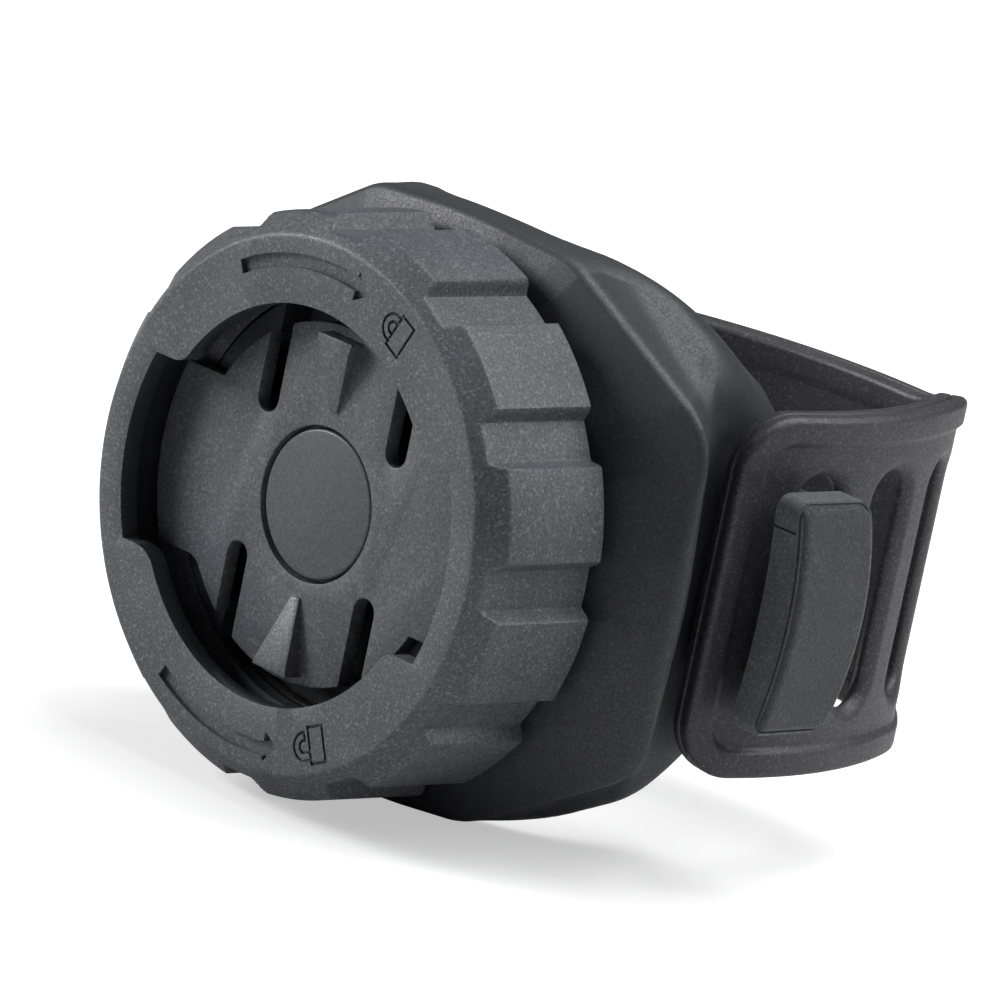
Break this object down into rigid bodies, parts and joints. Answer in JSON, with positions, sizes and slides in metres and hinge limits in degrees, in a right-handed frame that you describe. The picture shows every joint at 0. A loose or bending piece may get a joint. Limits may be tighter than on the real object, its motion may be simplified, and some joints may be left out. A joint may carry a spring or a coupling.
{
  "type": "bike computer mount",
  "caption": "Strap-on handlebar mount for a bike computer: a cushion-shaped body with a twist-lock toothed collar over a bayonet plate, and a slotted rubber strap on a hook.",
  "frame": {"origin": "on the axis of the handlebar seat, half way along the mount", "axes": "+Z along the handlebar, -Y towards the bike computer along the collar's axis, +X towards the strap's hook"},
  "size_m": [0.0633, 0.0571, 0.05],
  "materials": {
    "body_plastic": "black glass-filled nylon with a fine spark-eroded grain",
    "collar_plastic": "charcoal glass-filled nylon with a fine spark-eroded grain",
    "plate_plastic": "black acetal, fine grain",
    "cap_plastic": "charcoal plastic, smooth matte",
    "hook_plastic": "charcoal glass-filled nylon with a coarse leathery grain",
    "strap_silicone": "black silicone rubber, soft matte",
    "pad_rubber": "black rubber, dull",
    "seal_rubber": "black nitrile rubber",
    "glide_plastic": "natural white acetal",
    "spring_steel": "bright spring steel",
    "screw_steel": "stainless steel, turned and rolled",
    "pin_steel": "stainless steel, ground",
    "insert_brass": "turned brass"
  },
  "bodies": {
    "mount": {"body": "body_plastic", "saddle_pad": "pad_rubber", "receiver_plate": "plate_plastic", "centre_cap": "cap_plastic", "centre_washer": "screw_steel", "centre_screw": "screw_steel", "centre_insert": "insert_brass", "plate_screw_1": "screw_steel", "plate_screw_2": "screw_steel", "plate_screw_3": "screw_steel", "plate_screw_4": "screw_steel", "glide_ring": "glide_plastic", "wave_spring": "spring_steel", "collar_seal": "seal_rubber", "click_spring_left": "spring_steel", "click_spring_right": "spring_steel", "strap_hook": "hook_plastic", "strap": "strap_silicone", "strap_pin": "pin_steel"},
    "collar": {"locking_collar": "collar_plastic"}
  },
  "joints": [
    {"name": "collar_twist", "type": "hinge", "parent": "mount", "child": "collar", "pos_m": [0, -0.03, 0], "axis": [0, 1, 0], "range_deg": [0, 60]}
  ]
}
